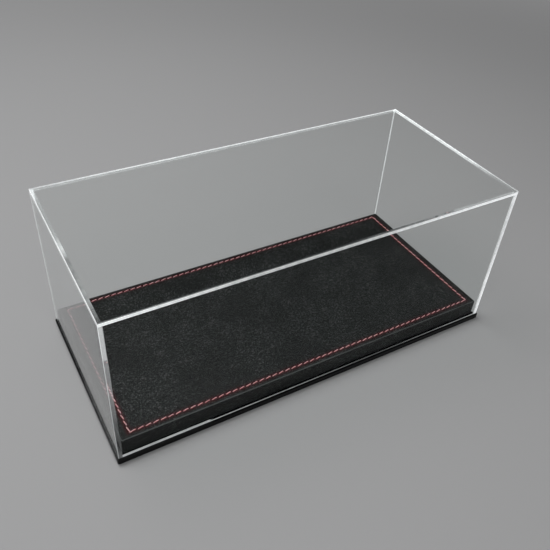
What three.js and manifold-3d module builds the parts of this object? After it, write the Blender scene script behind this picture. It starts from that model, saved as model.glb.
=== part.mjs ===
// Model car display case: a clear acrylic cover on a gloss black base plate,
// over a plinth that is wrapped in black leather with a red stitched seam.
// Millimetres, +Z up, +X along the length, and the front faces -Y. The origin is
// on the surface that the case stands on, under the middle of the base plate.

import * as THREE from 'three';
import { mergeVertices } from 'three/addons/utils/BufferGeometryUtils.js';
import Module from 'manifold-3d';

// Cover: five cemented panes
const coverLength = 340;
const coverDepth = 158;
const coverHeight = 132;
const paneThickness = 3;
const paneArris = 0.4;

// Base plate
const baseOverhang = 1.25;
const baseThickness = 5;
const baseCornerRadius = 1.5;
const baseArris = 0.5;

// Anti-slip pads under the base plate
const padDiameter = 12;
const padThickness = 1;
const padInset = 14;

// Plinth
const plinthClearance = 1;
const plinthHeight = 15;
const boardArris = 0.8;
const wrapClearance = 0.3;

// Leather over the plinth board, with a hem turned in under it
const leatherThickness = 1.2;
const leatherEdgeRadius = 2;
const leatherCornerRadius = 2.5;
const hemWidth = 14;
const mitreGap = 0.6;

// Seam round the top of the leather
const seamEndInset = 7.7;
const seamSideInset = 5;
const seamValleyWidth = 2.6;
const seamValleyDepth = 0.5;

// Seam thread
const threadDiameter = 0.9;
const threadClearance = 0.3;
const stitchPitch = 5.75;
const stitchRise = 0.25;
const stitchSlant = 0.25;

// Mounting strips between the plinth board and the base plate
const stripWidth = 20;
const stripEndInset = 40;
const stripSideInset = 24;

// Facets, and how far a cutting body runs past what it cuts
const cornerSteps = 4;
const edgeSteps = 3;
const valleySteps = 6;
const padFacets = 32;
const threadSides = 5;
const stepsPerStitch = 5;
const overrun = 2;

// Sizes and levels that follow from those above
const baseLength = coverLength + 2 * baseOverhang;
const baseDepth = coverDepth + 2 * baseOverhang;
const baseTop = padThickness + baseThickness;
const wallHeight = coverHeight - paneThickness;
const plinthLength = coverLength - 2 * (paneThickness + plinthClearance);
const plinthDepth = coverDepth - 2 * (paneThickness + plinthClearance);
const plinthTop = baseTop + plinthHeight;
const skinAndClearance = leatherThickness + wrapClearance;
const boardLength = plinthLength - 2 * skinAndClearance;
const boardDepth = plinthDepth - 2 * skinAndClearance;
const boardHeight = plinthHeight - 2 * skinAndClearance;
const boardBottom = baseTop + skinAndClearance;
const seamLength = plinthLength - 2 * seamEndInset;
const seamDepth = plinthDepth - 2 * seamSideInset;

const wasm = await Module();
wasm.setup();

const clearAcrylic = { color: 0xf4f8f8, roughness: 0.02, metalness: 0, transparent: true, opacity: 0.25 };
const blackAcrylic = { color: 0x08090a, roughness: 0.06, metalness: 0 };
const blackLeather = { color: 0x1a1c1c, roughness: 0.5, metalness: 0 };
const redThread = { color: 0xb02430, roughness: 0.6, metalness: 0 };
const fibreBoard = { color: 0x9a7b58, roughness: 0.85, metalness: 0 };
const whiteFoam = { color: 0xe6e4de, roughness: 0.8, metalness: 0 };
const greyRubber = { color: 0x3a3b3d, roughness: 0.8, metalness: 0 };

function namedMesh(name, geometry, look) {
  const mesh = new THREE.Mesh(geometry, new THREE.MeshStandardMaterial(look));
  mesh.name = name;
  return mesh;
}

// A closed geometry as a solid that can be cut.
function solidOf(geometry) {
  const bare = geometry.clone();
  bare.deleteAttribute('normal');
  bare.deleteAttribute('uv');
  const merged = mergeVertices(bare);
  const vertProperties = new Float32Array(merged.attributes.position.array);
  const triVerts = new Uint32Array(merged.index.array);
  return new wasm.Manifold(new wasm.Mesh({ numProp: 3, vertProperties, triVerts }));
}

function geometryOf(solid) {
  const { vertProperties, triVerts } = solid.getMesh();
  const geometry = new THREE.BufferGeometry();
  geometry.setAttribute('position', new THREE.BufferAttribute(vertProperties, 3));
  geometry.setIndex(new THREE.BufferAttribute(triVerts, 1));
  geometry.computeVertexNormals();
  return geometry;
}

// A box given by its lowest and highest corners.
function boxBetween(low, high) {
  const size = high.clone().sub(low);
  const middle = low.clone().add(high).multiplyScalar(1 / 2);
  return new THREE.BoxGeometry(size.x, size.y, size.z).translate(middle.x, middle.y, middle.z);
}

function roundedRectangle(length, depth, radius) {
  const x = length / 2 - radius;
  const y = depth / 2 - radius;
  const quarter = Math.PI / 2;
  const shape = new THREE.Shape();
  shape.absarc(x, y, radius, 0, quarter);
  shape.absarc(-x, y, radius, quarter, 2 * quarter);
  shape.absarc(-x, -y, radius, 2 * quarter, 3 * quarter);
  shape.absarc(x, -y, radius, 3 * quarter, 4 * quarter);
  shape.closePath();
  return shape;
}

// A slab that stands on z = 0, round at its upright corners and along its top
// and bottom edges. One step makes a corner or an edge a plain chamfer.
function slab(length, depth, height, corner, edge) {
  const outline = roundedRectangle(length - 2 * edge.radius, depth - 2 * edge.radius, corner.radius - edge.radius);
  const geometry = new THREE.ExtrudeGeometry(outline, {
    depth: height - 2 * edge.radius,
    bevelThickness: edge.radius,
    bevelSize: edge.radius,
    bevelSegments: edge.steps,
    curveSegments: corner.steps,
  });
  return geometry.translate(0, 0, edge.radius);
}

function rounded(radius, steps) {
  return { radius, steps };
}

function chamfered(size) {
  return { radius: size, steps: 1 };
}

function makeBasePlate() {
  const plate = slab(
    baseLength, baseDepth, baseThickness, rounded(baseCornerRadius, cornerSteps), chamfered(baseArris),
  );
  return namedMesh('base_plate', plate.translate(0, 0, padThickness), blackAcrylic);
}

function makePads() {
  const radius = padDiameter / 2;
  const x = baseLength / 2 - padInset;
  const y = baseDepth / 2 - padInset;
  const places = {
    pad_front_left: [-x, -y],
    pad_front_right: [x, -y],
    pad_back_left: [-x, y],
    pad_back_right: [x, y],
  };
  return Object.entries(places).map(([name, place]) => {
    const disc = new THREE.CylinderGeometry(radius, radius, padThickness, padFacets);
    disc.rotateX(Math.PI / 2).translate(0, 0, padThickness / 2);
    const pad = namedMesh(name, disc, greyRubber);
    pad.position.set(place[0], place[1], 0);
    return pad;
  });
}

function makeBoard() {
  const board = slab(boardLength, boardDepth, boardHeight, chamfered(2 * boardArris), chamfered(boardArris));
  return namedMesh('plinth_board', board.translate(0, 0, boardBottom), fibreBoard);
}

// The shallow furrow that the seam draws into the leather, as a frame to cut
// away: its profile runs round the seam's rectangle and turns at mitred corners.
// The furrow's lowest line is on z = 0.
function valleyCutter() {
  const half = seamValleyWidth / 2;
  const profile = [];
  for (let step = 0; step <= valleySteps; step += 1) {
    const share = (2 * step) / valleySteps - 1;
    const rise = seamValleyDepth * Math.sin((Math.abs(share) * Math.PI) / 2) ** 2;
    profile.push([share * half, rise]);
  }
  profile.push([half, overrun], [-half, overrun]);

  const corners = [[1, 1], [-1, 1], [-1, -1], [1, -1]];
  const points = corners.flatMap(([sideX, sideY]) => profile.map(([outward, z]) => [
    sideX * (seamLength / 2 + outward), sideY * (seamDepth / 2 + outward), z,
  ]));
  const faces = [];
  for (let corner = 0; corner < corners.length; corner += 1) {
    const next = (corner + 1) % corners.length;
    for (let point = 0; point < profile.length; point += 1) {
      const after = (point + 1) % profile.length;
      const [a, b] = [corner * profile.length + point, corner * profile.length + after];
      const [c, d] = [next * profile.length + after, next * profile.length + point];
      faces.push(a, c, b, a, d, c);
    }
  }
  const frame = new THREE.BufferGeometry();
  frame.setAttribute('position', new THREE.Float32BufferAttribute(points.flat(), 3));
  frame.setIndex(faces);
  return frame;
}

// The leather is one sheet: top, four sides and a hem turned in underneath,
// slit along the mitre at each corner.
function makeLeather() {
  const outside = slab(
    plinthLength, plinthDepth, plinthHeight,
    rounded(leatherCornerRadius, cornerSteps), rounded(leatherEdgeRadius, edgeSteps),
  );
  const cavity = slab(
    plinthLength - 2 * leatherThickness, plinthDepth - 2 * leatherThickness, plinthHeight - 2 * leatherThickness,
    rounded(leatherCornerRadius - leatherThickness, cornerSteps), chamfered(leatherEdgeRadius - leatherThickness),
  );
  const hemLength = plinthLength / 2 - hemWidth;
  const hemDepth = plinthDepth / 2 - hemWidth;
  const window = boxBetween(
    new THREE.Vector3(-hemLength, -hemDepth, -overrun),
    new THREE.Vector3(hemLength, hemDepth, leatherThickness + overrun),
  );
  let leather = solidOf(outside)
    .subtract(solidOf(cavity.translate(0, 0, leatherThickness)))
    .subtract(solidOf(window));

  const slitLength = (hemWidth - leatherThickness) * Math.SQRT2 + overrun;
  const reach = hemWidth - slitLength / 2 / Math.SQRT2 - leatherThickness;
  for (const sideX of [-1, 1]) {
    for (const sideY of [-1, 1]) {
      const slit = new THREE.BoxGeometry(slitLength, mitreGap, 2 * leatherThickness);
      slit.rotateZ((sideX * sideY * Math.PI) / 4);
      slit.translate(sideX * (hemLength + reach), sideY * (hemDepth + reach), 0);
      leather = leather.subtract(solidOf(slit));
    }
  }

  const valley = valleyCutter().translate(0, 0, plinthHeight - seamValleyDepth);
  leather = leather.subtract(solidOf(valley));
  return namedMesh('plinth_leather', geometryOf(leather).translate(0, 0, baseTop), blackLeather);
}

// The path of one run of stitches along +X. Each stitch rises from its needle
// hole, crosses the seam line on a slant and dips into the next hole.
class StitchedLine extends THREE.Curve {
  constructor(length, stitches) {
    super();
    this.length = length;
    this.stitches = stitches;
    this.arcLengthDivisions = stitches * stepsPerStitch * 4;
  }

  getPoint(t, target = new THREE.Vector3()) {
    const phase = (t * this.stitches) % 1;
    const bow = Math.sqrt(Math.abs(Math.sin(Math.PI * phase)));
    const across = stitchSlant * (2 * phase - 1) * bow;
    return target.set((t - 1 / 2) * this.length, across, stitchRise * bow);
  }
}

function threadRun(name, length) {
  const stitches = Math.max(1, Math.round(length / stitchPitch));
  const section = new THREE.Shape();
  for (let side = 0; side < threadSides; side += 1) {
    const angle = (2 * Math.PI * side) / threadSides;
    const point = [Math.cos(angle) * threadDiameter / 2, Math.sin(angle) * threadDiameter / 2];
    if (side === 0) section.moveTo(...point);
    else section.lineTo(...point);
  }
  section.closePath();
  const strand = new THREE.ExtrudeGeometry(section, {
    steps: stitches * stepsPerStitch,
    extrudePath: new StitchedLine(length, stitches),
  });
  return namedMesh(name, strand, redThread);
}

// Four runs that stop short of each other at the seam's corners, over the valley.
function makeSeam() {
  const cornerGap = threadDiameter / 2 + threadClearance;
  const level = plinthTop - seamValleyDepth + threadClearance + threadDiameter / 2;
  const sides = [
    ['stitches_front', seamLength, 0, -seamDepth / 2, 0],
    ['stitches_right', seamDepth, seamLength / 2, 0, Math.PI / 2],
    ['stitches_back', seamLength, 0, seamDepth / 2, Math.PI],
    ['stitches_left', seamDepth, -seamLength / 2, 0, -Math.PI / 2],
  ];
  return sides.map(([name, length, x, y, turn]) => {
    const run = threadRun(name, length - 2 * cornerGap);
    run.position.set(x, y, level);
    run.rotation.z = turn;
    return run;
  });
}

function makeStrips() {
  const length = boardLength - 2 * stripEndInset;
  const y = boardDepth / 2 - stripSideInset - stripWidth / 2;
  return [['mounting_strip_front', -y], ['mounting_strip_back', y]].map(([name, place]) => {
    const strip = new THREE.BoxGeometry(length, stripWidth, skinAndClearance);
    const mesh = namedMesh(name, strip, whiteFoam);
    mesh.position.set(0, place, baseTop + skinAndClearance / 2);
    return mesh;
  });
}

// Each pane is its own board of acrylic. The end panes cover the ends of the
// front and back panes, and the top pane lies on all four. Once cemented, the
// cover's outer edges are eased together, so the panes are cut from one envelope.
function makePanes() {
  const envelope = solidOf(slab(coverLength, coverDepth, coverHeight, chamfered(2 * paneArris), chamfered(paneArris)));
  const outer = { x: coverLength / 2 + overrun, y: coverDepth / 2 + overrun, z: coverHeight + overrun };
  const inner = { x: coverLength / 2 - paneThickness, y: coverDepth / 2 - paneThickness, z: wallHeight };
  const boxes = {
    pane_front: [[-inner.x, -outer.y, -overrun], [inner.x, -inner.y, inner.z]],
    pane_back: [[-inner.x, inner.y, -overrun], [inner.x, outer.y, inner.z]],
    pane_left: [[-outer.x, -outer.y, -overrun], [-inner.x, outer.y, inner.z]],
    pane_right: [[inner.x, -outer.y, -overrun], [outer.x, outer.y, inner.z]],
    pane_top: [[-outer.x, -outer.y, inner.z], [outer.x, outer.y, outer.z]],
  };
  return Object.entries(boxes).map(([name, [low, high]]) => {
    const board = solidOf(boxBetween(new THREE.Vector3(...low), new THREE.Vector3(...high)));
    return namedMesh(name, geometryOf(board.intersect(envelope)), clearAcrylic);
  });
}

const base = new THREE.Group();
base.add(makeBasePlate(), ...makePads(), makeBoard(), makeLeather(), ...makeSeam(), ...makeStrips());

const cover = new THREE.Group();
cover.position.z = baseTop;
cover.add(...makePanes());

const displayCase = new THREE.Group();
displayCase.add(base, cover);

export default displayCase;
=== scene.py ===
"""Looks of the model car display case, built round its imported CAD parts.

Metres, +Z up, +X along the length, and the front faces -Y. A clear acrylic
cover stands on a gloss black base plate, over a plinth that is wrapped in
black leather with a red stitched seam.
"""

import math

import bmesh
import bpy
import numpy as np
from mathutils import Matrix, Vector


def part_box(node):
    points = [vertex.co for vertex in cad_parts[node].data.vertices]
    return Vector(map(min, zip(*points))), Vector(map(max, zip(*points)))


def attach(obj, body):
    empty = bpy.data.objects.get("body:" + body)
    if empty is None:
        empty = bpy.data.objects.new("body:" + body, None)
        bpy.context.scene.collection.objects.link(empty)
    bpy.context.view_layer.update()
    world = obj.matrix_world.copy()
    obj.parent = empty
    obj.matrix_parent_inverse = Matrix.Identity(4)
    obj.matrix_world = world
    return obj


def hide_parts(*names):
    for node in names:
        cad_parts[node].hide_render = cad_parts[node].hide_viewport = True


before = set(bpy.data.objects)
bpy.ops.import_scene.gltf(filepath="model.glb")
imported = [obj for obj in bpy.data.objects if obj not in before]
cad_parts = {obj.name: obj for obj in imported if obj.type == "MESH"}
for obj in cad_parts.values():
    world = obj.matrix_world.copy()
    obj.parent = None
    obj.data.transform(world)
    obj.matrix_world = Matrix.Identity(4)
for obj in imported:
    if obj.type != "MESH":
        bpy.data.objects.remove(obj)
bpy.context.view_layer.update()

MM = 0.001
TURN = 2 * math.pi


# Places that the CAD parts give


def box_of(node):
    """Lowest and highest corner of a CAD node, as two arrays."""
    low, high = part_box(node)
    return np.array(low), np.array(high)


BASE_LOW, BASE_HIGH = box_of("base_plate")
LEATHER_LOW, LEATHER_HIGH = box_of("plinth_leather")
TOP_PANE_LOW, TOP_PANE_HIGH = box_of("pane_top")
FRONT_PANE_LOW = box_of("pane_front")[0]
COVER_LOW = np.array([TOP_PANE_LOW[0], TOP_PANE_LOW[1], FRONT_PANE_LOW[2]])
COVER_HIGH = np.array(TOP_PANE_HIGH)
PANE_THICKNESS = TOP_PANE_HIGH[2] - TOP_PANE_LOW[2]

# Leather, with the sizes of the plinth's CAD part, apart from its tighter edge

LEATHER_THICKNESS = 1.2 * MM
LEATHER_EDGE_RADIUS = 1.4 * MM
HEM_WIDTH = 14.0 * MM
MITRE_GAP = 0.6 * MM
SEAM_END_INSET = 7.7 * MM
SEAM_SIDE_INSET = 5.0 * MM
VALLEY_WIDTH = 2.6 * MM
VALLEY_DEPTH = 0.5 * MM
STITCH_PITCH = 5.75 * MM

PLINTH_HALF = LEATHER_HIGH[:2]
FLAT_HALF = PLINTH_HALF - LEATHER_EDGE_RADIUS
SEAM_HALF = PLINTH_HALF - [SEAM_END_INSET, SEAM_SIDE_INSET]
STITCHES_LONG = round(2 * SEAM_HALF[0] / STITCH_PITCH)
STITCHES_SHORT = round(2 * SEAM_HALF[1] / STITCH_PITCH)


# Meshes from arrays

WELD_REACH = 0.0001 * MM


def grid_faces(rows, columns, closed_columns=False):
    """Quads between neighbouring points of a grid that is stored row by row."""
    cells_across = columns if closed_columns else columns - 1
    row, column = np.meshgrid(np.arange(rows - 1), np.arange(cells_across), indexing="ij")
    after = (column + 1) % columns
    here, above = row * columns, (row + 1) * columns
    return np.stack([here + column, here + after, above + after, above + column], -1).reshape(-1, 4)


def tube_faces(rings, around):
    """Quads between neighbouring rings of points, and a face over each end."""
    quads = grid_faces(rings, around, closed_columns=True).tolist()
    last = (rings - 1) * around
    return [*quads, list(range(around))[::-1], list(range(last, last + around))]


def mesh_object(name, points, faces, finishes, smooth=True):
    """An object at the origin whose mesh holds the points and the faces."""
    mesh = bpy.data.meshes.new(name)
    mesh.from_pydata(np.asarray(points).reshape(-1, 3).tolist(), [], [list(face) for face in faces])
    piece = bpy.data.objects.new(name, mesh)
    bpy.context.scene.collection.objects.link(piece)
    for finish in finishes:
        mesh.materials.append(finish)
    mesh.polygons.foreach_set("use_smooth", np.full(len(mesh.polygons), smooth))
    mesh.update()
    return piece


def place_piece(piece, body, slot, *nodes):
    """Makes a piece ride on a body, and stand for the CAD nodes, if any, that it replaces."""
    if nodes:
        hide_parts(*nodes)
    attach(piece, body)


def paint(piece, name, values, domain="POINT"):
    """Stores one number for each point or face corner of a piece, for its finish to read."""
    layer = piece.data.attributes.new(name, "FLOAT", domain)
    layer.data.foreach_set("value", np.asarray(values, np.float32).ravel())


def weld(piece):
    """Joins points that lie on each other, and turns all faces outwards."""
    work = bmesh.new()
    work.from_mesh(piece.data)
    bmesh.ops.remove_doubles(work, verts=work.verts, dist=WELD_REACH)
    bmesh.ops.dissolve_degenerate(work, dist=WELD_REACH, edges=work.edges)
    bmesh.ops.recalc_face_normals(work, faces=work.faces)
    work.to_mesh(piece.data)
    work.free()
    piece.data.update()


def smooth_step(value):
    """0 below 0, 1 above 1, and a smooth rise between."""
    share = np.clip(value, 0, 1)
    return share * share * (3 - 2 * share)


# Materials as expressions


class Socket:
    """A shader value that takes part in Python sums."""

    def __init__(self, finish, output):
        self.finish = finish
        self.output = output

    def maths(self, operation, first, second=None):
        """What a maths node makes of one value or two."""
        inputs = {0: first} if second is None else {0: first, 1: second}
        return self.finish.node("Math", inputs, operation=operation)

    def __add__(self, other):
        return self.maths("ADD", self, other)

    def __radd__(self, other):
        return self.maths("ADD", other, self)

    def __sub__(self, other):
        return self.maths("SUBTRACT", self, other)

    def __rsub__(self, other):
        return self.maths("SUBTRACT", other, self)

    def __mul__(self, other):
        return self.maths("MULTIPLY", self, other)

    def __rmul__(self, other):
        return self.maths("MULTIPLY", other, self)

    def sine(self):
        """The sine of the value in radians."""
        return self.maths("SINE", self)

    def without_sign(self):
        """How far the value is from 0."""
        return self.maths("ABSOLUTE", self)

    def above(self, other):
        """1 where the value is greater than the other, and 0 elsewhere."""
        return self.maths("GREATER_THAN", self, other)

    def at_least(self, other):
        """The greater of the two values."""
        return self.maths("MAXIMUM", self, other)

    def at_most(self, other):
        """The smaller of the two values."""
        return self.maths("MINIMUM", self, other)

    def rise(self, start, end, low=0.0, high=1.0):
        """Goes smoothly from low to high as the value goes from start to end."""
        inputs = {"Value": self, "From Min": start, "From Max": end, "To Min": low, "To Max": high}
        return self.finish.node("MapRange", inputs, interpolation_type="SMOOTHSTEP")

    def between(self, first, second):
        """The first colour where the value is 0 and the second where it is 1."""
        inputs = {"Factor": self, "A": first, "B": second}
        return self.finish.node("Mix", inputs, output="Result", data_type="RGBA", clamp_factor=True)


class Finish:
    """The nodes of a material, or of the world, in the making."""

    def __init__(self, owner):
        self.owner = owner
        owner.use_nodes = True
        self.tree = owner.node_tree
        self.tree.nodes.clear()

    def node(self, kind, inputs=None, output=0, **settings):
        """Adds a node: its settings first, then the values or links of its sockets."""
        made = self.tree.nodes.new("ShaderNode" + kind)
        for key, value in settings.items():
            setattr(made, key, value)
        for key, value in (inputs or {}).items():
            self.feed(self.pick(made.inputs, key), value)
        return Socket(self, self.pick(made.outputs, output))

    @staticmethod
    def pick(sockets, key):
        """A socket by its number, or the one of that name that the settings leave open."""
        if isinstance(key, int):
            return sockets[key]
        return next(s for s in sockets if s.name == key and s.enabled)

    def feed(self, socket, value):
        """Links a shader value or sets a plain one. A colour gets a full alpha."""
        if isinstance(value, Socket):
            self.tree.links.new(value.output, socket)
        elif isinstance(value, tuple) and len(socket.default_value) == 4:
            socket.default_value = (*value, 1.0)
        else:
            socket.default_value = value

    def places(self):
        """Places on the surface in the object's own metres."""
        return self.node("TexCoord", output="Object")

    def axes(self, vector):
        """The x, y and z of a vector."""
        split = self.node("SeparateXYZ", {0: vector}).output.node
        return [Socket(self, output) for output in split.outputs]

    def stretched(self, vector, scale):
        """Places multiplied axis by axis. A share below 1 draws a pattern out."""
        return self.node("Mapping", {"Vector": vector, "Scale": scale})

    def noise(self, vector, size, detail):
        """Soft noise, about 0.5 in the mean, whose lumps are of that size."""
        return self.node("TexNoise", {"Vector": vector, "Scale": 1 / size, "Detail": detail})

    def attribute(self, name):
        """The number that paint stored in the mesh under that name."""
        return self.node("Attribute", output="Fac", attribute_name=name)

    def path(self, ray):
        """1 for rays of that kind, and 0 for others."""
        return self.node("LightPath", output=ray)

    def mix(self, factor, first, second):
        """The first surface where the factor is 0 and the second where it is 1."""
        return self.node("MixShader", {0: factor, 1: first, 2: second})

    def bump(self, height, depth, strength):
        """The normal of a relief whose height from 0 to 1 is that deep."""
        return self.node("Bump", {"Height": height, "Distance": depth, "Strength": strength})

    def done(self, surface, kind="OutputMaterial"):
        """Ends the nodes with the surface, and gives the material or the world."""
        end = self.tree.nodes.new("ShaderNode" + kind)
        self.tree.links.new(surface.output, end.inputs["Surface"])
        return self.owner


def new_finish(name):
    """A finish for a new material of that name."""
    return Finish(bpy.data.materials.new(name))


# Black leather

PEBBLE_SIZE = 0.95 * MM
PORE_SIZE = 0.3 * MM
SPECK_SIZE = 1.2 * MM
MOTTLE_SIZE = 2.4 * MM
CLOUD_SIZE = 30 * MM
GRAIN_DEPTH = 0.10 * MM
# Where in its noise or cell each mark starts and is full
CREASE_RANGE = (0.0, 0.2)
PORE_RANGE = (0.35, 0.65)
MOTTLE_RANGE = (0.38, 0.62)
CLOUD_RANGE = (0.3, 0.7)
SPECK_RANGE = (0.50, 0.72)
SPECK_STRENGTHS = (0.4, 1.4)
# How much of the colour and of the relief each mark makes up
PEBBLE_SHARE = 0.25
PORE_SHARE = 0.20
MOTTLE_SHARE = 0.35
CLOUD_SHARE = 0.20
PEBBLE_RELIEF_SHARE = 0.6
PORE_RELIEF_SHARE = 0.3
DOME_RELIEF_SHARE = 0.25
MOTTLE_RELIEF_SHARE = 0.2
SEAM_TINT_SHARE = 0.8
LEATHER_ROUGHNESS = 0.46
POLISH_OF_TONE = 0.12
POLISH_OF_RUB = 0.10
# Colour of the darkest tone, reached in the creases: painted shade
LEATHER_CREASE_SHADE = (0.0005, 0.0006, 0.0006)
LEATHER_PEBBLE = (0.0098, 0.0112, 0.0108)
# Painted highlight in fine specks on the pebbles
LEATHER_SPECK_HIGHLIGHT = (0.0690, 0.0745, 0.0730)
# Painted highlight line where the leather is rubbed over the edge
LEATHER_RUB_HIGHLIGHT = (0.075, 0.079, 0.079)
SEAM_TINT = (0.0480, 0.0006, 0.0030)


def leather_finish():
    """Fine-grained black leather: small flat pebbles, in patches that take the dye a
    little differently, with creases between them that are painted darker as shade.
    Fine specks of painted highlight lie on top of the pebbles. Where the leather is
    pulled over an edge it is rubbed smoother, and a painted highlight line makes it
    paler there. The valley along the seam is tinted dark red."""
    finish = new_finish("black_leather")
    places = finish.places()
    cells = {"Vector": places, "Scale": 1 / PEBBLE_SIZE, "Randomness": 0.9}
    dome = finish.node("TexVoronoi", cells, output="Distance", feature="SMOOTH_F1")
    crease = finish.node("TexVoronoi", cells, output="Distance", feature="DISTANCE_TO_EDGE")
    pores = finish.noise(places, PORE_SIZE, 2.0)
    mottle = finish.noise(places, MOTTLE_SIZE, 2.0)
    clouds = finish.noise(places, CLOUD_SIZE, 3.0)
    flat_top = crease.rise(*CREASE_RANGE)
    grain = flat_top * PEBBLE_SHARE + pores.rise(*PORE_RANGE) * PORE_SHARE
    patches = mottle.rise(*MOTTLE_RANGE) * MOTTLE_SHARE + clouds.rise(*CLOUD_RANGE) * CLOUD_SHARE
    tone = grain + patches
    # Darkest where the tone is lowest, in the creases between pebbles: painted shade
    shade = tone.between(LEATHER_CREASE_SHADE, LEATHER_PEBBLE)
    # Fine specks of painted highlight on the pebble tops, stronger in some patches
    speck_highlights = finish.noise(places, SPECK_SIZE, 1.0).rise(*SPECK_RANGE) * flat_top
    strength = clouds.rise(*CLOUD_RANGE, *SPECK_STRENGTHS)
    shade = (speck_highlights * strength).between(shade, LEATHER_SPECK_HIGHLIGHT)
    # The rubbed edge: smoother, and paler by a painted highlight line
    rub_and_highlight = finish.attribute("rub_and_highlight") * (0.5 + mottle)
    shade = rub_and_highlight.at_most(1.0).between(shade, LEATHER_RUB_HIGHLIGHT)
    # Tinted dark red along the seam's valley
    shade = (finish.attribute("seam") * SEAM_TINT_SHARE).between(shade, SEAM_TINT)
    height = flat_top * PEBBLE_RELIEF_SHARE + pores * PORE_RELIEF_SHARE
    height = height - dome * DOME_RELIEF_SHARE + mottle * MOTTLE_RELIEF_SHARE
    surface = finish.node(
        "BsdfPrincipled",
        {
            "Base Color": shade,
            "Roughness": LEATHER_ROUGHNESS - tone * POLISH_OF_TONE - rub_and_highlight * POLISH_OF_RUB,
            "Specular IOR Level": 0.11,
            "Normal": finish.bump(height, GRAIN_DEPTH, 0.9),
        },
    )
    return finish.done(surface)


# Red thread

FIBRE_SIZE = 0.12 * MM
FIBRE_DEPTH = 0.02 * MM
DYE_CLOUD_SIZE = 6 * MM
DYE_CLOUD_SHARE = 0.3
GROOVE_RANGE = (0.3, 0.95)
DYE_CLOUD_RANGE = (0.35, 0.65)
FLANK_RANGE = (0.02, 0.55)
DIP_RANGE = (0.02, 0.4)
# Pale pink painted highlight on the tops of the plies
THREAD_PLY_HIGHLIGHT = (0.94, 0.76, 0.77)
# Painted shade in the grooves between the plies
THREAD_GROOVE_SHADE = (0.40, 0.020, 0.032)
THREAD_CLOUD = (0.76, 0.28, 0.29)
# Painted shade down the flanks and, darkest, in the needle holes
THREAD_FLANK_SHADE = (0.32, 0.003, 0.010)
THREAD_DIP_SHADE = (0.070, 0.002, 0.004)


def thread_finish():
    """Twisted red polyester thread, with painted light in its colour: a pale painted
    highlight on the plies, painted shade in the grooves between them and down its
    flanks, and the darkest painted shade where a stitch dips into its needle hole."""
    finish = new_finish("red_thread")
    places = finish.places()
    fibres = finish.noise(places, FIBRE_SIZE, 2.0)
    clouds = finish.noise(places, DYE_CLOUD_SIZE, 2.0)
    # Painted highlight on the plies, then painted shade in the grooves, down the flanks and in the
    # dips
    shade = finish.attribute("groove_shade").rise(*GROOVE_RANGE).between(THREAD_PLY_HIGHLIGHT, THREAD_GROOVE_SHADE)
    shade = (clouds.rise(*DYE_CLOUD_RANGE) * DYE_CLOUD_SHARE).between(shade, THREAD_CLOUD)
    shade = finish.attribute("flank_shade").rise(*FLANK_RANGE).between(shade, THREAD_FLANK_SHADE)
    shade = finish.attribute("dip_shade").rise(*DIP_RANGE).between(shade, THREAD_DIP_SHADE)
    surface = finish.node(
        "BsdfPrincipled",
        {
            "Base Color": shade,
            "Roughness": 0.30 + fibres * 0.12,
            "Specular IOR Level": 0.9,
            "Sheen Weight": 0.3,
            "Sheen Roughness": 0.35,
            "Normal": finish.bump(fibres, FIBRE_DEPTH, 0.5),
        },
    )
    return finish.done(surface)


# Acrylic

ACRYLIC_IOR = 1.49
WIPING_SIZE = 1.2 * MM
WIPING_STRETCH = (0.15, 1.0, 1.0)
PLATE_WAVE_SIZE = 18 * MM
PLATE_WAVE_DEPTH = 0.03 * MM
PANE_WAVE_SIZE = 50 * MM
PANE_WAVE_DEPTH = 0.1 * MM
DRIFT_SIZE = 25 * MM
BLOTCH_SIZE = 5 * MM
HAZE_SIZE = 9 * MM
LINES_ACROSS = 2.4
LINE_DRIFT = 1.2
WIPING_RANGE = (0.4, 0.7)
WIPING_DULL_RANGE = (0.45, 0.8)
BLOTCH_RANGE = (0.3, 0.7)
RIM_RANGE = (0.38, 0.48)
HAZE_RANGE = (0.3, 0.7)
HAZE_STRENGTHS = (0.75, 1.15)
EVEN_GLOW_SHARE = 0.66
LINE_GLOW_SHARE = 0.22
BLOTCH_GLOW_SHARE = 0.20
RIM_GLOW_SHARE = 0.3
MIRROR_SHARE = 0.10
FACE_ON_SHARE = 0.16
ASLANT_SHARE = 0.44
TRAPPED_SHARE = 0.995
# Emission strength of the bright edges and joints: a painted glow, though they are no lamp
EDGE_PAINTED_GLOW = 0.50
PLATE_BLACK = (0.0016, 0.0017, 0.0019)
PLATE_WIPED = (0.0030, 0.0031, 0.0034)
CLEAR_TINT = (0.965, 0.972, 0.970)
CLEAR_BODY = (0.995, 1.0, 0.998)
# Colours of the edges' painted glow
EDGE_GLOW_GREY = (0.90, 0.93, 0.94)
EDGE_GLOW_WHITE = (0.97, 0.98, 0.98)
EDGE_LIGHT = (0.95, 0.98, 1.0)
JOINT_HAZE_AND_GLOW_WHITE = (0.94, 0.96, 0.96)


def gloss_black_finish():
    """Polished black acrylic with the faint waviness and wiping marks of a cast sheet."""
    finish = new_finish("black_acrylic")
    places = finish.places()
    wiping = finish.noise(finish.stretched(places, WIPING_STRETCH), WIPING_SIZE, 3.0)
    waves = finish.noise(places, PLATE_WAVE_SIZE, 1.0)
    surface = finish.node(
        "BsdfPrincipled",
        {
            "Base Color": wiping.rise(*WIPING_RANGE).between(PLATE_BLACK, PLATE_WIPED),
            "Roughness": 0.05 + wiping.rise(*WIPING_DULL_RANGE) * 0.06,
            "Specular IOR Level": 0.10,
            "IOR": ACRYLIC_IOR,
            "Normal": finish.bump(waves, PLATE_WAVE_DEPTH, 0.3),
        },
    )
    return finish.done(surface)


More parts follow.
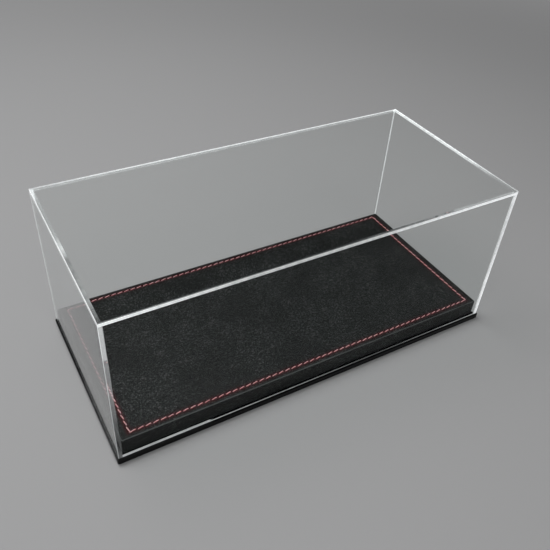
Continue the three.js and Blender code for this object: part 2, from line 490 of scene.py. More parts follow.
def light_gate(finish, surface):
    """Lets light from lamps and from lit surfaces straight through what is clear.
    It also opens the faces that would trap a ray inside a board, so that a board
    seen near its edge shows what is behind it, as a thin bright edge does."""
    open_rays = finish.path("Is Shadow Ray").at_least(finish.path("Is Diffuse Ray"))
    clear = finish.node("BsdfTransparent", {"Color": CLEAR_TINT})
    return finish.mix(open_rays.at_least(trapped(finish)), surface, clear)


def trapped(finish):
    """1 for a ray that the board's surface would mirror back inside, and 0 elsewhere."""
    return finish.node("Fresnel", {"IOR": ACRYLIC_IOR}).above(TRAPPED_SHARE)


def clear_body(finish, roughness=0.0, mirror_normal=None):
    """Clear acrylic: it bends what is seen through it. Face on it mirrors next to
    nothing, and aslant as much as acrylic does."""
    face = {"Color": CLEAR_BODY, "Roughness": roughness}
    seen_through = finish.node("BsdfRefraction", {"IOR": ACRYLIC_IOR, **face})
    if mirror_normal is not None:
        face["Normal"] = mirror_normal
    mirrored = finish.node("BsdfAnisotropic", face)
    real_share = finish.node("Fresnel", {"IOR": ACRYLIC_IOR})
    held_back = real_share.rise(FACE_ON_SHARE, ASLANT_SHARE, MIRROR_SHARE, 1.0)
    return finish.mix(real_share * held_back, seen_through, mirrored)


def clear_pane_finish():
    """Clear cast acrylic, a trace wavy, as its mirror image shows from outside."""
    finish = new_finish("clear_acrylic")
    waves = finish.noise(finish.places(), PANE_WAVE_SIZE, 1.0)
    outside = 1 - finish.node("NewGeometry", output="Backfacing")
    wavy = finish.bump(waves, PANE_WAVE_DEPTH, outside * 0.6)
    return finish.done(light_gate(finish, clear_body(finish, mirror_normal=wavy)))


def cut_edge_finish():
    """The polished cut edge of an acrylic board, with a painted glow that stands
    for the light it gathers from inside the board: white, and lit by its own
    emission, by the share that the mesh gives, in fine lines along the edge, with
    a thin line down each side. A trapped ray meets the share seen from inside."""
    finish = new_finish("acrylic_cut_edge")
    along, across = finish.axes(finish.node("UVMap", uv_map="strip"))[:2]
    drift = finish.noise(finish.node("CombineXYZ", {0: along}), DRIFT_SIZE, 2.0)
    lines = ((across * LINES_ACROSS + drift * LINE_DRIFT) * TURN).sine() * 0.5 + 0.5
    blotches = finish.noise(finish.places(), BLOTCH_SIZE, 3.0).rise(*BLOTCH_RANGE)
    rims = (across - 0.5).without_sign().rise(*RIM_RANGE)
    inside = trapped(finish)
    glow = finish.attribute("glow") * (1 - inside) + finish.attribute("inner") * inside
    marks = EVEN_GLOW_SHARE + lines * LINE_GLOW_SHARE + blotches * BLOTCH_GLOW_SHARE
    share = glow * marks + rims * glow * RIM_GLOW_SHARE
    # Painted glow: white, and lit by its own emission
    white = finish.node(
        "BsdfPrincipled",
        {
            "Base Color": blotches.between(EDGE_GLOW_GREY, EDGE_GLOW_WHITE),
            "Roughness": 0.22,
            "Specular IOR Level": 0.6,
            "Emission Color": EDGE_LIGHT,
            "Emission Strength": EDGE_PAINTED_GLOW,
        },
    )
    clear = light_gate(finish, clear_body(finish, roughness=0.03))
    return finish.done(finish.mix(share.at_most(1.0), clear, white))


def joint_finish():
    """The cemented joint between two boards: clear, with an uneven white by the
    share that the mesh gives, partly the cement's own haze and partly a painted
    glow, lit by its own emission."""
    finish = new_finish("acrylic_joint")
    unevenness = finish.noise(finish.places(), HAZE_SIZE, 3.0)
    strength = unevenness.rise(*HAZE_RANGE, *HAZE_STRENGTHS)
    haze_and_glow = (finish.attribute("glow") * strength).at_most(1.0)
    clear = finish.node("BsdfTransparent", {"Color": CLEAR_TINT})
    shaded = finish.node(
        "BsdfPrincipled",
        {
            "Base Color": JOINT_HAZE_AND_GLOW_WHITE,
            "Roughness": 0.6,
            "Emission Color": EDGE_LIGHT,
            "Emission Strength": EDGE_PAINTED_GLOW,
        },
    )
    lit_through = finish.node("BsdfTranslucent", {"Color": JOINT_HAZE_AND_GLOW_WHITE})
    white = finish.mix(0.5, shaded, lit_through)
    return finish.done(finish.mix(haze_and_glow, clear, white))


# Hidden and lower parts

RUBBER_GRAIN_SIZE = 0.4 * MM
RUBBER_GRAIN_DEPTH = 0.03 * MM
RUBBER_DARK = (0.030, 0.031, 0.033)
RUBBER_PALE = (0.048, 0.050, 0.052)
BOARD_FIBRE_SIZE = 0.8 * MM
BOARD_FIBRE_STRETCH = (0.35, 1.0, 1.0)
BOARD_FIBRE_DEPTH = 0.05 * MM
BOARD_DARK = (0.22, 0.14, 0.08)
BOARD_PALE = (0.42, 0.30, 0.18)
FOAM_CELL_SIZE = 0.5 * MM
FOAM_CELL_DEPTH = 0.05 * MM
FOAM_PALE = (0.80, 0.79, 0.76)
FOAM_DARK = (0.62, 0.61, 0.58)


def matt_surface(finish, shade, roughness, normal):
    """A plain matt surface of that colour."""
    inputs = {"Base Color": shade, "Roughness": roughness, "Normal": normal}
    return finish.node("BsdfPrincipled", inputs)


def rubber_finish():
    """Dark grey moulded rubber."""
    finish = new_finish("pad_rubber")
    grain = finish.noise(finish.places(), RUBBER_GRAIN_SIZE, 3.0)
    shade = grain.between(RUBBER_DARK, RUBBER_PALE)
    bumps = finish.bump(grain, RUBBER_GRAIN_DEPTH, 0.6)
    return finish.done(matt_surface(finish, shade, 0.7 + grain * 0.15, bumps))


def board_finish():
    """Raw fibreboard: pale brown with short fibres."""
    finish = new_finish("fibre_board")
    places = finish.stretched(finish.places(), BOARD_FIBRE_STRETCH)
    fibres = finish.noise(places, BOARD_FIBRE_SIZE, 4.0)
    shade = fibres.rise(0.3, 0.7).between(BOARD_DARK, BOARD_PALE)
    bumps = finish.bump(fibres, BOARD_FIBRE_DEPTH, 0.5)
    return finish.done(matt_surface(finish, shade, 0.8 + fibres * 0.1, bumps))


def foam_finish():
    """White closed-cell mounting foam."""
    finish = new_finish("mounting_foam")
    inputs = {"Vector": finish.places(), "Scale": 1 / FOAM_CELL_SIZE}
    cells = finish.node("TexVoronoi", inputs, output="Distance")
    shade = cells.rise(0.0, 0.5).between(FOAM_PALE, FOAM_DARK)
    bumps = finish.bump(cells, FOAM_CELL_DEPTH, 0.5)
    return finish.done(matt_surface(finish, shade, 0.75 + cells * 0.1, bumps))


LEATHER = leather_finish()
THREAD = thread_finish()
GLOSS_BLACK = gloss_black_finish()
CLEAR = clear_pane_finish()
CUT_EDGE = cut_edge_finish()
JOINT = joint_finish()
RUBBER = rubber_finish()
BOARD = board_finish()
FOAM = foam_finish()


# Leather over the plinth

LINES_PER_STITCH = 6
LINES_OVER_SEAM = 9
LINES_IN_MARGIN = 3
LINE_CLEARANCE = 0.2 * MM
SWELL_HEIGHT = 0.07 * MM
SWELL_PLACE_SHARE = 1.25
SWELL_WIDTH_SHARE = 0.6
PIT_DEPTH = 0.18 * MM
PIT_REACH_ALONG = 0.8 * MM
PIT_REACH_ACROSS = 0.9 * MM
WAVE_HEIGHT = 0.025 * MM
# Along x and along y: radians to the metre and start
CHEQUERED_WAVE = ((61, 1.3), (83, 0.4))
# Strength, radians to the metre along x and along y, and start
SLANTED_WAVES = ((0.6, 139, -67, 2.1), (0.4, 47, 171, 0.9))
EDGE_FADE = 4 * MM
ROUND_POINTS = 9
SIDE_POINTS = 3
LIP_LIFT = 0.05 * MM
CORNER_STEPS = 6
# How much each of the first rings of the edge profile, from the top over the round edge, is rubbed
# smoother and painted paler as a highlight line
EDGE_RUB_AND_HIGHLIGHT_SHARES = [0, 0.05, 0.3, 0.9, 1.0, 0.4, 0.05]
SEAM_TINT_REACH = 1.7 * MM
# A prism's low and high face and its four sides, by the numbers of its corners
PRISM_FACES = np.array(
    [[0, 1, 2, 3], [7, 6, 5, 4], [0, 1, 5, 4], [1, 2, 6, 5], [2, 3, 7, 6], [3, 0, 4, 7]]
)


def stitch_lines(seam_half, stitches, flat_half):
    """Places along one axis: some to each stitch, closer together over the seam
    that runs across, and a few from there to the end of the flat top."""
    along = np.linspace(-seam_half, seam_half, LINES_PER_STITCH * stitches + 1)
    ripple = np.linspace(-1, 1, LINES_OVER_SEAM) * VALLEY_WIDTH / 2
    near = np.concatenate([side * seam_half + ripple for side in (-1, 1)])
    margin = np.linspace(seam_half + VALLEY_WIDTH / 2, flat_half, LINES_IN_MARGIN + 1)[1:]
    keep = np.abs(np.abs(along) - seam_half) > VALLEY_WIDTH / 2 + LINE_CLEARANCE
    return np.sort(np.concatenate([along[keep], near, margin, -margin]))


def beyond_seam(x, y):
    """How far places lie outside the stitched line, and below 0 inside it."""
    return np.maximum(np.abs(x) - SEAM_HALF[0], np.abs(y) - SEAM_HALF[1])


def from_needle_hole(x, y):
    """Distance to the nearest needle hole, measured along the seam."""
    on_long_run = np.abs(y) - SEAM_HALF[1] >= np.abs(x) - SEAM_HALF[0]
    place = np.where(on_long_run, x, y)
    length = np.where(on_long_run, 2 * SEAM_HALF[0], 2 * SEAM_HALF[1])
    stitches = np.where(on_long_run, STITCHES_LONG, STITCHES_SHORT)
    phase = np.mod(place / length * stitches + stitches / 2, 1)
    return np.minimum(phase, 1 - phase) * STITCH_PITCH


def slow_waves(x, y):
    """The unevenness of glued leather: one chequered wave and two slanted ones."""
    (rate_x, start_x), (rate_y, start_y) = CHEQUERED_WAVE
    waves = np.sin(x * rate_x + start_x) * np.sin(y * rate_y + start_y)
    for strength, rate_x, rate_y, start in SLANTED_WAVES:
        waves = waves + strength * np.sin(x * rate_x + y * rate_y + start)
    return WAVE_HEIGHT * waves


def leather_level(x, y):
    """How far the top of the leather stands over its plain level: the valley along
    the seam, plus a soft swell on both sides of it, a pit at each needle hole and
    the slow waves, and these three fade out towards the edge."""
    half = VALLEY_WIDTH / 2
    beyond = beyond_seam(x, y)
    across = np.clip(np.abs(beyond) / half, 0, 1)
    valley = -VALLEY_DEPTH * np.cos(across * math.pi / 2) ** 2
    from_swell = (np.abs(beyond) - SWELL_PLACE_SHARE * half) / (SWELL_WIDTH_SHARE * half)
    swell = SWELL_HEIGHT * np.exp(-(from_swell**2))
    along_pit, across_pit = from_needle_hole(x, y) / PIT_REACH_ALONG, beyond / PIT_REACH_ACROSS
    pit = -PIT_DEPTH * np.exp(-(along_pit**2) - across_pit**2)
    from_rim = np.minimum(FLAT_HALF[0] - np.abs(x), FLAT_HALF[1] - np.abs(y))
    return valley + (swell + pit + slow_waves(x, y)) * smooth_step(from_rim / EDGE_FADE)


def edge_profile():
    """Outward reach and level of the leather, from the rim of its flat top over the
    round edge, down the side and round to its underside, then up inside."""
    radius = LEATHER_EDGE_RADIUS
    top, bottom = LEATHER_HIGH[2], LEATHER_LOW[2]
    angles = np.linspace(0, math.pi / 2, ROUND_POINTS)
    over = np.stack([radius * np.sin(angles), top - radius * (1 - np.cos(angles))], 1)
    side_levels = np.linspace(top - radius, bottom + radius, SIDE_POINTS + 2)[1:-1]
    side = np.stack([np.full(SIDE_POINTS, radius), side_levels], 1)
    under = np.stack([radius * np.cos(angles), bottom + radius * (1 - np.sin(angles))], 1)
    inside = radius - LEATHER_THICKNESS
    lip = np.array([[inside, bottom + LIP_LIFT], [inside, top - LEATHER_THICKNESS]])
    return np.concatenate([over, side, under, lip])


def flat_border(xs, ys):
    """The border of the flat top as a closed path, and the way outward at each of
    its points. At a corner the path stands still while the way outward turns."""
    along_x, along_y = np.ones(len(xs)), np.ones(len(ys))
    runs = [
        (xs, -FLAT_HALF[1] * along_x, (0, -1)),
        (FLAT_HALF[0] * along_y, ys, (1, 0)),
        (xs[::-1], FLAT_HALF[1] * along_x, (0, 1)),
        (-FLAT_HALF[0] * along_y, ys[::-1], (-1, 0)),
    ]
    quarter = np.linspace(0, math.pi / 2, CORNER_STEPS + 1)[1:-1]
    path, outward = [], []
    for run_x, run_y, normal in runs:
        run = np.stack([run_x, run_y], 1)
        turn = math.atan2(normal[1], normal[0]) + quarter
        path += [run, np.tile(run[-1], (len(turn), 1))]
        outward += [np.tile(normal, (len(run), 1)), np.stack([np.cos(turn), np.sin(turn)], 1)]
    return np.concatenate(path), np.concatenate(outward)


def make_leather():
    """The wrap's top is a height over a grid of lines. Its sides are the edge
    profile carried outward round the border of that grid, and a last face closes
    it under the top."""
    xs = stitch_lines(SEAM_HALF[0], STITCHES_LONG, FLAT_HALF[0])
    ys = stitch_lines(SEAM_HALF[1], STITCHES_SHORT, FLAT_HALF[1])
    x, y = np.meshgrid(xs, ys, indexing="xy")
    top = np.stack([x, y, LEATHER_HIGH[2] + leather_level(x, y)], -1).reshape(-1, 3)
    path, outward = flat_border(xs, ys)
    profile = edge_profile()
    around = len(path)
    places = path + outward * profile[:, None, :1]
    levels = np.broadcast_to(profile[:, None, 1:], (len(profile), around, 1))
    points = np.concatenate([top, np.concatenate([places, levels], -1).reshape(-1, 3)])
    top_faces = grid_faces(len(ys), len(xs))
    side_faces = grid_faces(len(profile), around, closed_columns=True)[:, ::-1] + len(top)
    ceiling = len(points) - 1 - np.arange(around)
    faces = top_faces.tolist() + side_faces.tolist() + [ceiling.tolist()]
    wrap = mesh_object("leather_wrap", points, faces, [LEATHER])
    # The rubbed band over the round edge, for the smoother finish and the painted highlight line
    rub_and_highlight_rings = np.repeat(EDGE_RUB_AND_HIGHLIGHT_SHARES, around)
    rub_and_highlight_shares = np.zeros(len(points))
    rub_and_highlight_shares[len(top) : len(top) + len(rub_and_highlight_rings)] = rub_and_highlight_rings
    paint(wrap, "rub_and_highlight", rub_and_highlight_shares)
    beyond = beyond_seam(points[:, 0], points[:, 1])
    paint(wrap, "seam", np.exp(-((beyond / SEAM_TINT_REACH) ** 2)))
    weld(wrap)
    return wrap


def hem_flap(along, side):
    """Corners of the flap on one side of the board, whose ends are cut off aslant."""
    across = 1 - along
    inner_half = PLINTH_HALF - HEM_WIDTH
    outer_end = FLAT_HALF[along] - MITRE_GAP / 2 * math.sqrt(2)
    inner_end = inner_half[along] - MITRE_GAP / 2 * math.sqrt(2)
    flap = np.empty((4, 2))
    flap[:, along] = [-outer_end, outer_end, inner_end, -inner_end]
    flap[:, across] = np.repeat([side * FLAT_HALF[across], side * inner_half[across]], 2)
    return flap


def make_hem():
    """Four turned-in flaps under the board, cut off at 45 degrees towards each other."""
    low = LEATHER_LOW[2]
    points, faces = [], []
    for side in (-1, 1):
        for along in (0, 1):
            faces += (PRISM_FACES + len(points)).tolist()
            for level in (low, low + LEATHER_THICKNESS):
                points += [(x, y, level) for x, y in hem_flap(along, side)]
    hem = mesh_object("leather_hem", points, faces, [LEATHER], smooth=False)
    weld(hem)
    return hem


# Seam thread

THREAD_RADIUS = 0.41 * MM
THREAD_SIDES = 12
PLIES = 3
PLY_LAY = 2.2 * MM
PLY_MIDDLE_SHARE = 0.93
PLY_SWELL_SHARE = 0.07
STITCH_SLANT = 0.62 * MM
STITCH_RISE = 0.16 * MM
HOLE_DEPTH = 1.05 * MM
HOLE_SQUEEZE_SHARE = 0.45
# Places in a stitch, from its middle, 0, to its needle hole, 1
LEVEL_UNTIL = 0.58
SUNK_FROM = 0.74
CORNER_REACH_SHARE = 0.72
HALF_STITCH = np.array([0, 0.20, 0.38, 0.50, 0.57, 0.61, 0.65, 0.69, 0.73, 0.79, 0.91])


def stitched_line(half, stitches):
    """The middle line of a run's thread, and how much of it shows at each point, from
    1 where it lies on top to 0 in a needle hole. Over most of a stitch the line lies
    level and on a slant, crowned a little in the middle, and near each end it dives
    into the needle hole. The half stitches at the two corners stay up longer."""
    one_stitch = np.concatenate([-HALF_STITCH[:0:-1], HALF_STITCH])
    middles = np.arange(stitches)[:, None] * 2 + 1
    share = np.concatenate([[0], (middles + one_stitch).ravel(), [2 * stitches]]) / (2 * stitches)
    from_middle = np.concatenate([[-1], np.tile(one_stitch, stitches), [1]])
    reach = np.abs(from_middle)
    reach[: len(HALF_STITCH)] *= CORNER_REACH_SHARE
    reach[-len(HALF_STITCH) :] *= CORNER_REACH_SHARE
    shown = smooth_step((SUNK_FROM - reach) / (SUNK_FROM - LEVEL_UNTIL))
    along = (2 * share - 1) * half
    across = STITCH_SLANT * from_middle * shown
    crown = STITCH_RISE * (1 - from_middle**2)
    high = -VALLEY_DEPTH + THREAD_RADIUS + crown
    level = LEATHER_HIGH[2] - HOLE_DEPTH + (high + HOLE_DEPTH) * shown
    return np.stack([along, across, level], 1), shown


def ways_across(line):
    """Two ways at right angles to a line at each of its points, level and upward."""
    tangent = np.gradient(line, axis=0)
    tangent /= np.linalg.norm(tangent, axis=1, keepdims=True)
    sideways = np.tile([0.0, 1.0, 0.0], (len(line), 1))
    sideways -= tangent * (sideways * tangent).sum(1, keepdims=True)
    sideways /= np.linalg.norm(sideways, axis=1, keepdims=True)
    return sideways, np.cross(tangent, sideways)


def make_thread(name, half, stitches, middle, turn):
    """A ring of points carried along the stitched line and squeezed in the needle
    holes. The ring's radius swells with the plies, which turn round the line as
    they go on. The run is then turned and moved to its side of the seam."""
    line, shown = stitched_line(half, stitches)
    sideways, upward = ways_across(line)
    angle = np.arange(THREAD_SIDES) * TURN / THREAD_SIDES
    length = np.concatenate([[0], np.cumsum(np.linalg.norm(np.diff(line, axis=0), axis=1))])
    lobes = np.cos(PLIES * angle - TURN * length[:, None] / PLY_LAY)
    squeeze = 1 - HOLE_SQUEEZE_SHARE * (1 - shown[:, None])
    radius = THREAD_RADIUS * (PLY_MIDDLE_SHARE + PLY_SWELL_SHARE * lobes) * squeeze
    ring = np.cos(angle)[None, :, None] * sideways[:, None]
    ring = ring + np.sin(angle)[None, :, None] * upward[:, None]
    x, y, level = np.moveaxis(line[:, None] + radius[..., None] * ring, -1, 0)
    cosine, sine = math.cos(turn), math.sin(turn)
    points = [middle[0] + x * cosine - y * sine, middle[1] + x * sine + y * cosine, level]
    faces = tube_faces(len(line), THREAD_SIDES)
    thread = mesh_object(name, np.stack(points, -1), faces, [THREAD])
    # Where the painted shade goes: the grooves between the plies, the dips into the needle holes
    # and the flanks
    paint(thread, "groove_shade", (1 - lobes) / 2)
    paint(thread, "dip_shade", np.repeat(1 - shown, THREAD_SIDES))
    paint(thread, "flank_shade", np.tile(1 - np.sin(angle), len(line)))
    return thread


# Panes

ARRIS = 0.3 * MM
JOINT_GAP = 0.03 * MM
CLEAR_LIP = 0.75 * MM
CLEAR_LIP_GLOW_SHARE = 0.15
FOOT_LINE = 1.2 * MM
FOOT_BAND = 2.9 * MM
FOOT_BAND_END = -97 * MM
STATION_GAP = 8 * MM
ON_PLANE = 0.001 * MM
PLACE_DIGITS = 7
UP = 2
CLEAR_SLOT, EDGE_SLOT, JOINT_SLOT = 0, 1, 2

# How white the painted glow makes each outer edge of the cover, from its low end to its high end:
# the cut face from outside, the same from inside, the arris, and the joint behind it
EDGE_GLOW_SHARES = {
    "front top": {
        "face": [1.0, 0.90, 0.64, 0.50, 0.45, 0.46, 0.50, 0.64, 0.88, 1.0, 1.0],
        "inside": [0.1],
        "arris": [0.12],
        "joint": [0.02, 0.02, 0.02, 0.02, 0.02, 0.03, 0.10, 0.25, 0.30, 0.30, 0.30],
    },
    "right top": {
        "face": [0.7],
        "inside": [0.35, 0.50, 0.90, 0.95, 0.95, 0.95, 0.95],
        "arris": [0.3, 0.4, 0.8],
        "joint": [0.05, 0.15, 0.80, 0.85, 0.85, 0.85, 0.85],
    },
    "back top": {
        "face": [0.7],
        "inside": [0.5, 1.0, 1.0, 1.0, 1.0, 1.0],
        "arris": [0.7],
        "joint": [0.3],
    },
    "left top": {
        "face": [0.50, 0.45, 0.42, 0.42, 0.45, 0.45],
        "inside": [0.3],
        "arris": [0.6],
        "joint": [0.05, 0.30, 0.38, 0.40, 0.36, 0.30, 0.75, 0.20, 0.15, 0.15, 0.20, 0.25, 0.30],
    },
    "front left": {
        "face": [0.12, 0.03, 0.05, 0.15, 0.22, 0.25, 0.25, 0.30, 0.35],
        "inside": [0.1],
        "arris": [0.42, 0.36, 0.42, 0.50, 0.55, 0.68, 0.75],
        "joint": [0.08],
    },
    "front right": {
        "face": [1.0, 1.0, 0.95, 0.90, 0.70, 0.75, 0.80, 0.90],
        "inside": [0.8],
        "arris": [0.9],
        "joint": [0.90, 0.95, 0.95, 0.85, 0.65, 0.70, 0.75, 0.80],
    },
    "back left": {"face": [0.8], "inside": [1.0], "arris": [1.0], "joint": [0.6]},
    "back right": {"face": [0.6], "inside": [0.8], "arris": [0.9], "joint": [0.4]},
}
FOOT_EDGE_GLOW_SHARES = {"face": [0.3], "inside": [0.1], "arris": [0.3]}
# Painted glow at the foot of the walls: a band at the left of the front wall, and a line along each
# foot
FOOT_BAND_GLOW_SHARE = 0.46
FOOT_LINE_GLOW_SHARES = [0.50, 0.50, 0.50, 0.42, 0.30, 0.22, 0.15, 0.12, 0.20, 0.32, 0.50]
OTHER_FOOT_GLOW_SHARES = [0.3]
SIDE_NAMES = (("left", "right"), ("front", "back"), ("bottom", "top"))


def other_axes(axis):
    """The numbers of the two axes beside the one given."""
    return [other for other in range(3) if other != axis]


def third_axis(first, second):
    """The axis that is neither of the two: the numbers of all three add up to 3."""
    return 3 - first - second


def stations(low, high, marks):
    """Levels between two ends: even steps, with the marks put in."""
    even = np.linspace(low, high, max(2, round((high - low) / STATION_GAP) + 1))
    inside = [mark for mark in marks if low < mark < high]
    return np.unique(np.round(np.concatenate([even, inside]), PLACE_DIGITS))


def board_grids(low, high):
    """The six faces of a board as grids of points, with the axis and side of each."""
    levels = []
    for axis in range(3):
        near, far = COVER_LOW[axis], COVER_HIGH[axis]
        marks = [near + ARRIS, far - ARRIS, near + PANE_THICKNESS, far - PANE_THICKNESS]
        if axis == UP:
            marks += [near + FOOT_LINE, near + FOOT_BAND, far - CLEAR_LIP]
        if axis == 0:
            marks += [FOOT_BAND_END + step for step in (-FOOT_BAND, -FOOT_LINE, 0)]
        levels.append(stations(low[axis], high[axis], marks))
    for axis in range(3):
        first, second = (axis + 1) % 3, (axis + 2) % 3
        u, v = np.meshgrid(levels[first], levels[second], indexing="ij")
        for side, level in ((-1, low[axis]), (1, high[axis])):
            grid = np.empty(u.shape + (3,))
            grid[..., first], grid[..., second], grid[..., axis] = u, v, level
            yield axis, side, grid


def eased(points):
    """Draws the points on the cover's outer edges in to the middle of a flat arris."""
    outside = np.minimum(np.abs(points - COVER_LOW), np.abs(points - COVER_HIGH)) < ON_PLANE
    on_edge = outside & (outside.sum(-1, keepdims=True) >= 2)
    inward = -np.sign(points - (COVER_LOW + COVER_HIGH) / 2)
    return points + on_edge * inward * ARRIS / 2


def along_edge(shares, corners, axis):
    """The shares read off by the place of each corner along the cover's axis."""
    share = (corners[..., axis] - COVER_LOW[axis]) / (COVER_HIGH[axis] - COVER_LOW[axis])
    return np.interp(share, np.linspace(0, 1, len(shares)), shares)


def edge_light(kind, corners, axis, side, other, other_side):
    """How white the painted glow makes the corners by the outer edge where the two sides meet."""
    names = [SIDE_NAMES[axis][int(side > 0)], SIDE_NAMES[other][int(other_side > 0)]]
    shares = EDGE_GLOW_SHARES.get(" ".join(sorted(names)), FOOT_EDGE_GLOW_SHARES)[kind]
    return along_edge(shares, corners, third_axis(axis, other))


def foot_light(node, corners, glow):
    """Paints glow on the foot of a wall: a thin line, and at the left of the front wall a
    higher band, cut off aslant."""
    height = corners[..., UP].mean(1) - COVER_LOW[UP]
    front = node == "pane_front"
    lit = corners[..., 0] + corners[..., UP] - COVER_LOW[UP] < FOOT_BAND_END + ON_PLANE
    band = FOOT_BAND_GLOW_SHARE * (lit & front)
    line = along_edge(FOOT_LINE_GLOW_SHARES if front else OTHER_FOOT_GLOW_SHARES, corners, 0)
    glow[height < FOOT_BAND] = band[height < FOOT_BAND]
    glow[height < FOOT_LINE] = line[height < FOOT_LINE]


def light_cells(node, axis, side, corners, thin, thin_side):
    """The slot of each cell of a face, clear, bright edge or joint, and how white
    its painted glow makes its corners from outside and from inside. A board's inner
    face is clear, apart from the strips where another board meets it, and its ends
    inside the cover are joints. Outside, a cut face, the foot of a wall and an arris
    each get as much painted glow as the shares of that edge say, and the rest is clear."""
    middle = corners.mean(1)
    low_gap, high_gap = middle - COVER_LOW, COVER_HIGH - middle
    outside = min(abs(low_gap[0, axis]), abs(high_gap[0, axis])) < ON_PLANE
    glow, inner = np.zeros((2,) + corners.shape[:2])
    if not outside and axis == thin:
        level_axes = [other for other in other_axes(axis) if other != UP]
        nearest = np.minimum(low_gap, high_gap)[:, level_axes]
        mated = (nearest < PANE_THICKNESS - ON_PLANE).any(1)
        return np.where(mated, JOINT_SLOT, CLEAR_SLOT), glow, inner
    if not outside:
        glow = edge_light("joint", corners, axis, side, thin, thin_side)
        return np.full(len(middle), JOINT_SLOT), glow, inner
    if axis != thin:
        glow = edge_light("face", corners, axis, side, thin, thin_side)
        inner = edge_light("inside", corners, axis, side, thin, thin_side)
        # Less painted glow on the top board's front face near its top lip
        if node == "pane_top" and (axis, side) == (1, -1):
            glow[high_gap[:, UP] < CLEAR_LIP] *= CLEAR_LIP_GLOW_SHARE
    elif thin != UP:
        foot_light(node, corners, glow)
    for other in other_axes(axis):
        for other_side, gap in ((-1, low_gap[:, other]), (1, high_gap[:, other])):
            arris = edge_light("arris", corners, axis, side, other, other_side)
            glow[gap < ARRIS] = inner[gap < ARRIS] = arris[gap < ARRIS]
    return np.where(glow.max(1) > 0, EDGE_SLOT, CLEAR_SLOT), glow, inner


def make_pane(node):
    """A board of the CAD part's size: six grids, joined at their borders, with
    flat arrises on the cover's outer edges and joint ends set back by a hair.
    Its cells are told apart into clear faces, edges bright with painted glow, and joints."""
    low, high = box_of(node)
    thin = int(np.argmin(high - low))
    thin_side = np.sign((low + high - COVER_LOW - COVER_HIGH)[thin])
    for axis in other_axes(thin):
        low[axis] += JOINT_GAP * (abs(low[axis] - COVER_LOW[axis]) > ON_PLANE)
        high[axis] -= JOINT_GAP * (abs(high[axis] - COVER_HIGH[axis]) > ON_PLANE)
    points, faces, slots, glows, inners, strips = [], [], [], [], [], []
    count = 0
    for axis, side, grid in board_grids(low, high):
        flat = grid.reshape(-1, 3)
        cells = grid_faces(*grid.shape[:2])
        if side > 0:
            cells = cells[:, ::-1]
        corners = flat[cells]
        slot, glow, inner = light_cells(node, axis, side, corners, thin, thin_side)
        long = max(other_axes(axis), key=lambda other: high[other] - low[other])
        short = third_axis(axis, long)
        across = (corners[..., short] - low[short]) / PANE_THICKNESS
        points.append(eased(flat))
        faces.append(cells + count)
        slots.append(slot)
        glows.append(glow)
        inners.append(inner)
        strips.append(np.stack([corners[..., long], across], -1))
        count += len(flat)
    rounded = np.round(np.concatenate(points), PLACE_DIGITS)
    kept, place_of = np.unique(rounded, axis=0, return_inverse=True)
    faces = place_of.reshape(-1)[np.concatenate(faces)]
    pane = mesh_object("clear_" + node, kept, faces, [CLEAR, CUT_EDGE, JOINT], smooth=False)
    pane.data.polygons.foreach_set("material_index", np.concatenate(slots))
    # The painted glow of each corner, seen from outside and from inside
    paint(pane, "glow", np.concatenate(glows), "CORNER")
    paint(pane, "inner", np.concatenate(inners), "CORNER")
    strip = pane.data.uv_layers.new(name="strip")
    strip.uv.foreach_set("vector", np.concatenate(strips).astype(np.float32).ravel())
    return pane


# Base plate

PLATE_CORNER_RADIUS = 1.5 * MM
PLATE_EDGE_RADIUS = 0.5 * MM
PLATE_EDGE_POINTS = 5
PLATE_CORNER_POINTS = 7


def make_base():
    """A slab with round upright corners, whose top and bottom edges are polished
    round: rings of a rounded outline, one for each point of the edge's profile."""
    angles = np.linspace(0, math.pi / 2, PLATE_EDGE_POINTS)
    inset = PLATE_EDGE_RADIUS * (1 - np.cos(angles))
    rise = PLATE_EDGE_RADIUS * np.sin(angles)
    under = np.stack([inset[::-1], BASE_LOW[2] + PLATE_EDGE_RADIUS - rise[::-1]], 1)
    over = np.stack([inset, BASE_HIGH[2] - PLATE_EDGE_RADIUS + rise], 1)
    profile = np.concatenate([under, over])
    quarter = np.linspace(0, math.pi / 2, PLATE_CORNER_POINTS)
    turns = np.concatenate([number * math.pi / 2 + quarter for number in range(4)])
    signs = np.repeat([(1, 1), (-1, 1), (-1, -1), (1, -1)], PLATE_CORNER_POINTS, axis=0)
    corner_middles = signs * (BASE_HIGH[:2] - PLATE_CORNER_RADIUS)
    outward = np.stack([np.cos(turns), np.sin(turns)], 1)
    rings = []
    for step, level in profile:
        ring = corner_middles + (PLATE_CORNER_RADIUS - step) * outward
        rings.append(np.concatenate([ring, np.full((len(ring), 1), level)], 1))
    faces = tube_faces(len(profile), len(turns))
    points = np.concatenate(rings)
    return mesh_object("gloss_base_plate", points, faces, [GLOSS_BLACK], smooth=False)


# Building the case: the dressed pieces in place of CAD parts, then the parts that stay

# For each run of the seam: half its length, its stitches, its middle and its turn
RUNS = {
    "front": (SEAM_HALF[0], STITCHES_LONG, (0, -SEAM_HALF[1]), 0),
    "right": (SEAM_HALF[1], STITCHES_SHORT, (SEAM_HALF[0], 0), math.pi / 2),
    "back": (SEAM_HALF[0], STITCHES_LONG, (0, SEAM_HALF[1]), math.pi),
    "left": (SEAM_HALF[1], STITCHES_SHORT, (-SEAM_HALF[0], 0), -math.pi / 2),
}


def dress(node, finish):
    """Puts a finish on a CAD part that stays as it is."""
    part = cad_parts[node]
    part.data.materials.clear()
    part.data.materials.append(finish)


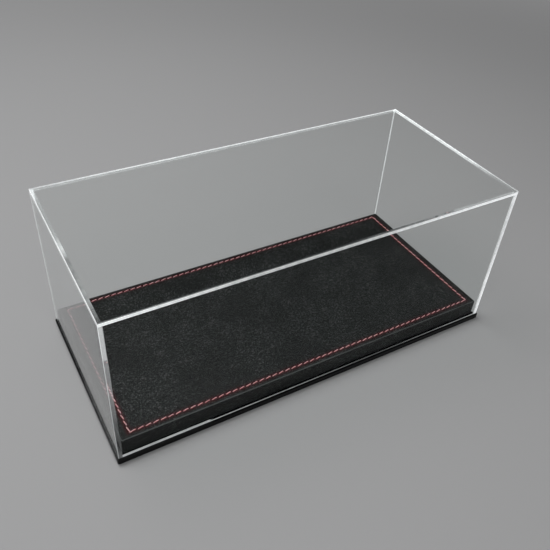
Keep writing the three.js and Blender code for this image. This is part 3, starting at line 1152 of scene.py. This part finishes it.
place_piece(make_leather(), "base", "black_leather", "plinth_leather")
place_piece(make_hem(), "base", "black_leather")
for side, run in RUNS.items():
    thread = make_thread("seam_thread_" + side, *run)
    place_piece(thread, "base", "red_thread", "stitches_" + side)
place_piece(make_base(), "base", "black_acrylic", "base_plate")
for side in ("front", "back", "left", "right", "top"):
    node = "pane_" + side
    place_piece(make_pane(node), "cover", "clear_acrylic", node)

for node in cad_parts:
    if node.startswith("pad_"):
        dress(node, RUBBER)
dress("plinth_board", BOARD)
dress("mounting_strip_front", FOAM)
dress("mounting_strip_back", FOAM)


# Floor, backdrop, lamps and camera

SQUARE_CORNERS = ((-1, -1), (1, -1), (1, 1), (-1, 1))
FLOOR_REACH = 6.0
FLOOR_LEVEL = -0.05 * MM
FLOOR_COLOUR = (0.34, 0.34, 0.343)
FLOOR_FADE_FROM = 0.7
FLOOR_FADE_TO = 2.4
BACKDROP_COLOUR = (0.50, 0.50, 0.505)
CEILING_COLOUR = (0.05, 0.05, 0.051)
BACKDROP_TOP = math.sin(math.radians(9))
CEILING_EDGE = math.sin(math.radians(26))
LAMPS = {
    "softbox_back": {"place": (-0.45, 0.50, 1.4), "size": (1.1, 0.8), "power": 18},
    "softbox_front": {"place": (-0.35, -1.0, 1.5), "size": (1.5, 0.8), "power": 13},
}
LAMP_AIM = (0, 0, 0.05)
FOCAL_PIXELS = 646.1
PICTURE_PIXELS = 550
SENSOR_MILLIMETRES = 36
NEAREST_SEEN = 0.01
EYE = Vector((-0.22667, -0.35336, 0.40159))
EYE_RIGHT = Vector((0.86707, -0.49470, 0.05887))
EYE_AHEAD = Vector((0.41374, 0.64923, -0.63821))


def floor_finish():
    """A matt floor, which turns into the backdrop's own light far from the case."""
    finish = new_finish("floor")
    matt = {"Base Color": FLOOR_COLOUR, "Roughness": 0.9, "Specular IOR Level": 0.1}
    near = finish.node("BsdfPrincipled", matt)
    far = finish.node("Emission", {"Color": BACKDROP_COLOUR})
    inputs = {0: finish.places()}
    distance = finish.node("VectorMath", inputs, output="Value", operation="LENGTH")
    seen = finish.path("Is Camera Ray").at_least(finish.path("Is Glossy Ray"))
    seen = seen.at_least(finish.path("Is Transmission Ray"))
    fade = distance.rise(FLOOR_FADE_FROM, FLOOR_FADE_TO) * seen
    return finish.done(finish.mix(fade, near, far))


def make_floor():
    """A plain pale square, a hair under the pads."""
    corners = [(x * FLOOR_REACH, y * FLOOR_REACH, FLOOR_LEVEL) for x, y in SQUARE_CORNERS]
    floor = mesh_object("floor", corners, [(0, 1, 2, 3)], [floor_finish()], smooth=False)


def light_world():
    """A pale backdrop low down all round, which darkens towards the ceiling."""
    sky = Finish(bpy.data.worlds.new("studio"))
    height = sky.axes(sky.node("TexCoord", output="Generated"))[UP]
    shade = height.rise(BACKDROP_TOP, CEILING_EDGE).between(BACKDROP_COLOUR, CEILING_COLOUR)
    light = sky.node("Background", {"Color": shade})
    bpy.context.scene.world = sky.done(light, "OutputWorld")


def add_lamp(name, place, size, power):
    """A soft box of that width and depth, aimed at the case."""
    data = bpy.data.lights.new(name, "AREA")
    data.shape = "RECTANGLE"
    data.size, data.size_y = size
    data.energy = power
    lamp = bpy.data.objects.new(name, data)
    bpy.context.scene.collection.objects.link(lamp)
    lamp.location = place
    lamp.rotation_euler = (Vector(LAMP_AIM) - Vector(place)).to_track_quat("-Z", "Y").to_euler()


def add_camera():
    """Stands at the front left and looks down on the case, with a slight roll."""
    data = bpy.data.cameras.new("camera")
    data.sensor_width = SENSOR_MILLIMETRES
    data.lens = FOCAL_PIXELS / PICTURE_PIXELS * data.sensor_width
    data.clip_start = NEAREST_SEEN
    camera = bpy.data.objects.new("camera", data)
    bpy.context.scene.collection.objects.link(camera)
    ahead = EYE_AHEAD.normalized()
    up = EYE_RIGHT.normalized().cross(ahead).normalized()
    right = ahead.cross(up)
    turned = Matrix((right, up, -ahead)).transposed().to_4x4()
    camera.matrix_world = Matrix.Translation(EYE) @ turned
    bpy.context.scene.camera = camera


make_floor()
light_world()
for name, lamp in LAMPS.items():
    add_lamp(name, **lamp)
add_camera()
bpy.context.scene.view_settings.view_transform = "Standard"
